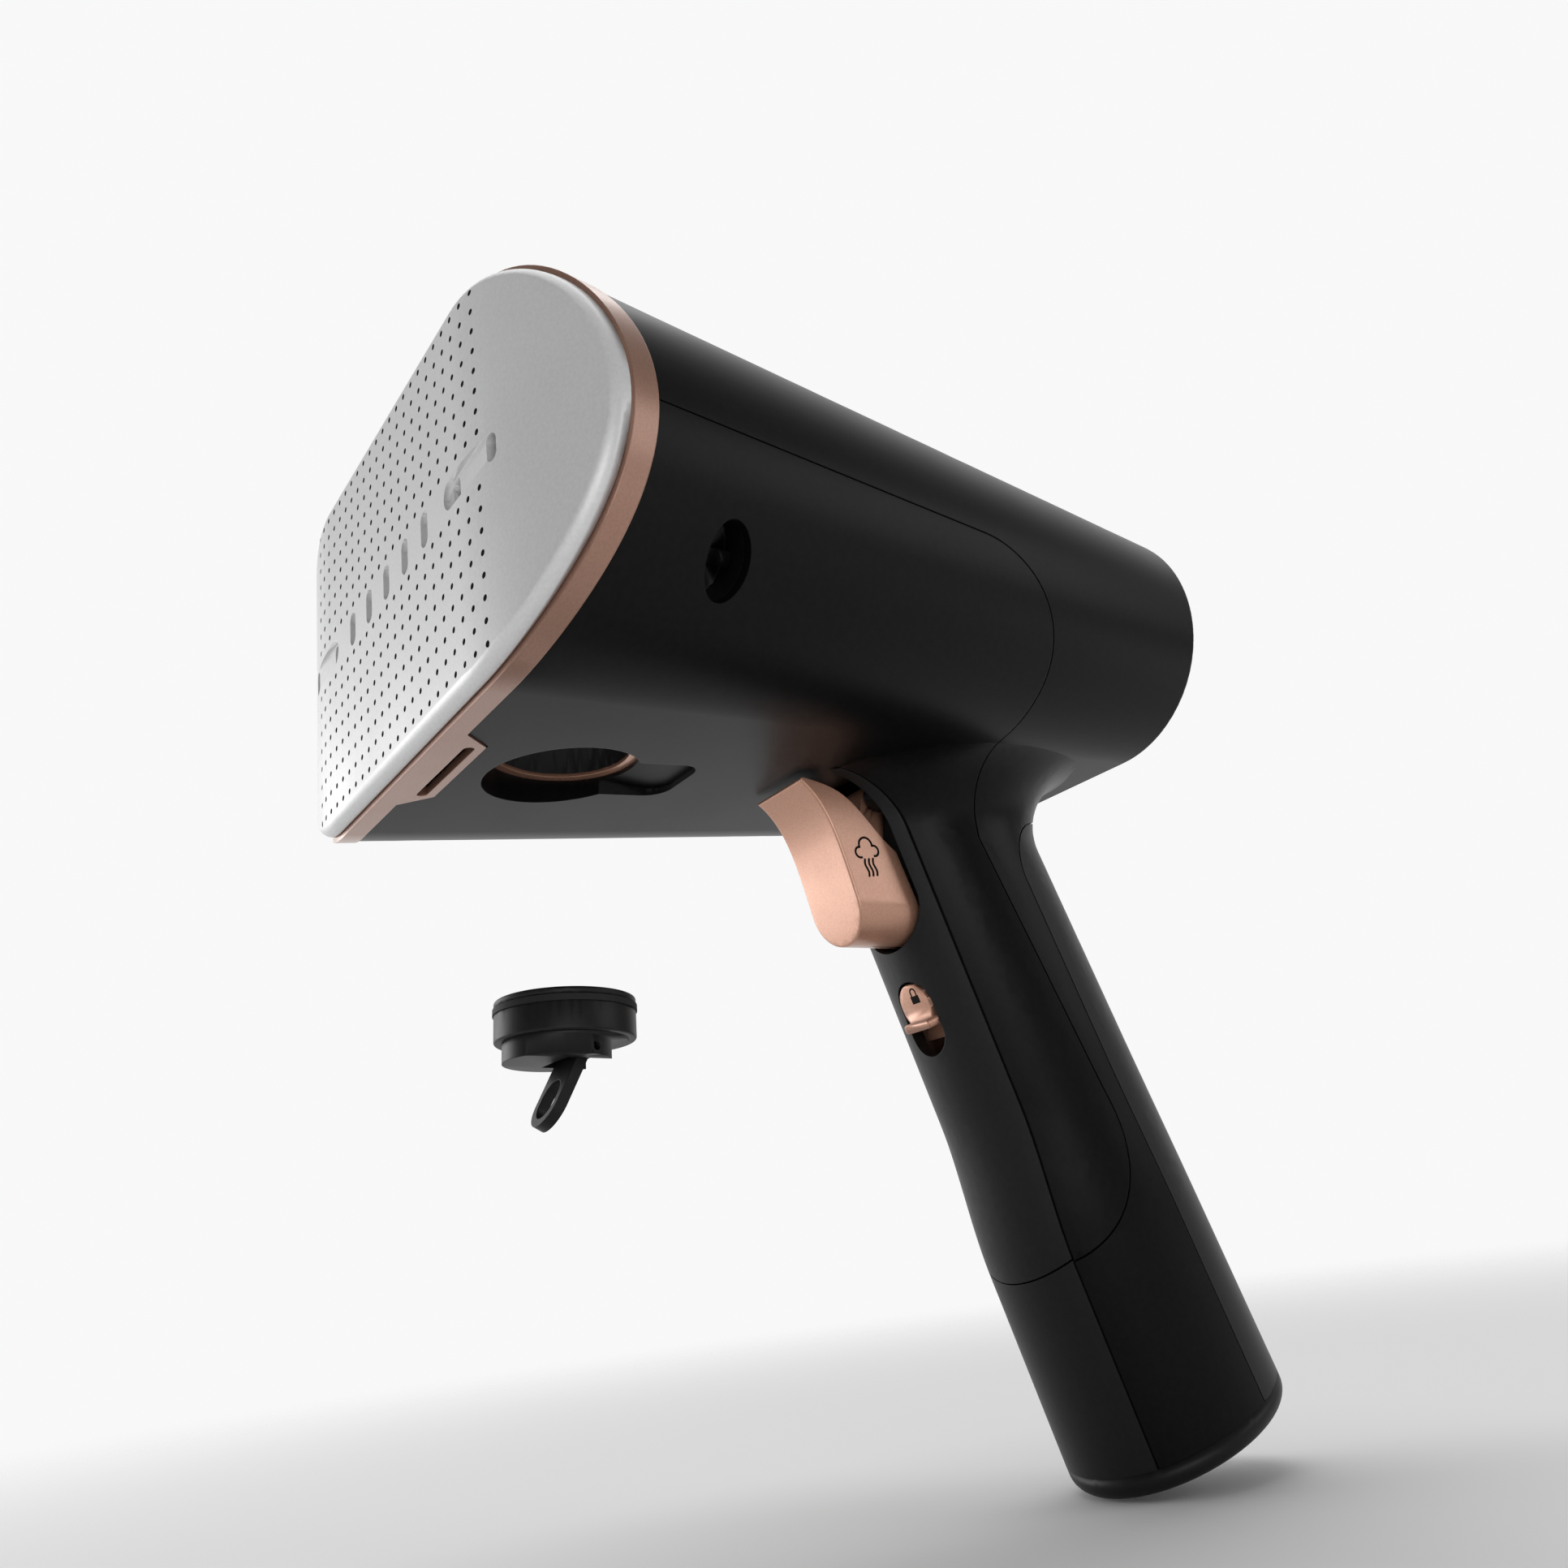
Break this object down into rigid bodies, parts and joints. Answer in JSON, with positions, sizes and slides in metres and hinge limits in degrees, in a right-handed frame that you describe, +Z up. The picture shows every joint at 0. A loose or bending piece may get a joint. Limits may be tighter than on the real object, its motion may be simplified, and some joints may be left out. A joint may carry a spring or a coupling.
{
  "type": "garment steamer",
  "caption": "Handheld garment steamer: tapered head with a bent, perforated soleplate, tilted grip with steam trigger and lock slider, and a pull-out scale cup under the head.",
  "frame": {"origin": "centre of the soleplate's flat face", "axes": "+Y from the face to the rear of the head, +Z up with the handle hanging towards -Z, +X to the side, and the object mirrors about X = 0"},
  "size_m": [0.1308, 0.1738, 0.1972],
  "materials": {
    "plate_metal": "brushed, ceramic coated",
    "rose_gold": "metallic plated",
    "gloss_black": "polished",
    "satin_black": "fine satin",
    "dark_brown": "satin",
    "black_rubber": "matt",
    "silicone": "matt",
    "cast_aluminium": "as cast",
    "steel": "bright",
    "ceramic_white": "matt",
    "copper_ring": "satin"
  },
  "bodies": {
    "housing": {"soleplate": "plate_metal", "soleplate_gasket": "black_rubber", "trim_ring": "rose_gold", "lower_shell": "gloss_black", "top_cover": "gloss_black", "handle_front_panel": "satin_black", "handle_front_foot": "satin_black", "handle_back_cover": "satin_black", "handle_foot": "satin_black", "hose_gland": "black_rubber", "supply_tube": "silicone", "steam_chamber": "cast_aluminium", "chamber_cover": "cast_aluminium", "chamber_screws": "steel", "heating_element": "steel", "thermostat": "ceramic_white", "thermal_fuse": "ceramic_white", "calc_socket": "satin_black", "port_ring": "copper_ring", "side_socket_left": "satin_black", "side_socket_right": "satin_black", "trigger_pin": "steel", "trigger_bracket": "satin_black", "trigger_spring": "steel", "microswitch": "satin_black", "slider_bed": "dark_brown"},
    "trigger": {"trigger": "rose_gold"},
    "lock": {"lock_slider": "rose_gold"},
    "scale_cup": {"cap_cup": "satin_black", "cap_collar": "satin_black", "cap_seal": "black_rubber", "tab_pin": "steel"},
    "tab": {"pull_tab": "satin_black"}
  },
  "joints": [
    {"name": "trigger_pull", "type": "hinge", "parent": "housing", "child": "trigger", "pos_m": [0, 0.09449, -0.03234], "axis": [1, 0, 0], "range_deg": [0, 6.5], "stiffness_Nm_per_rad": 0.8, "springref_deg": -3.44, "deforming": ["trigger_spring"]},
    {"name": "lock_slide", "type": "slide", "parent": "housing", "child": "lock", "axis": [0, 0.3239, -0.9461], "range_m": [0, 0.0035]},
    {"name": "cup_slide", "type": "slide", "parent": "housing", "child": "scale_cup", "axis": [0, 0.0571, 0.9984], "range_m": [0, 0.0496]},
    {"name": "tab_swing", "type": "hinge", "parent": "scale_cup", "child": "tab", "pos_m": [0, 0.02875, -0.08019], "axis": [1, 0, 0], "range_deg": [0, 117]}
  ]
}
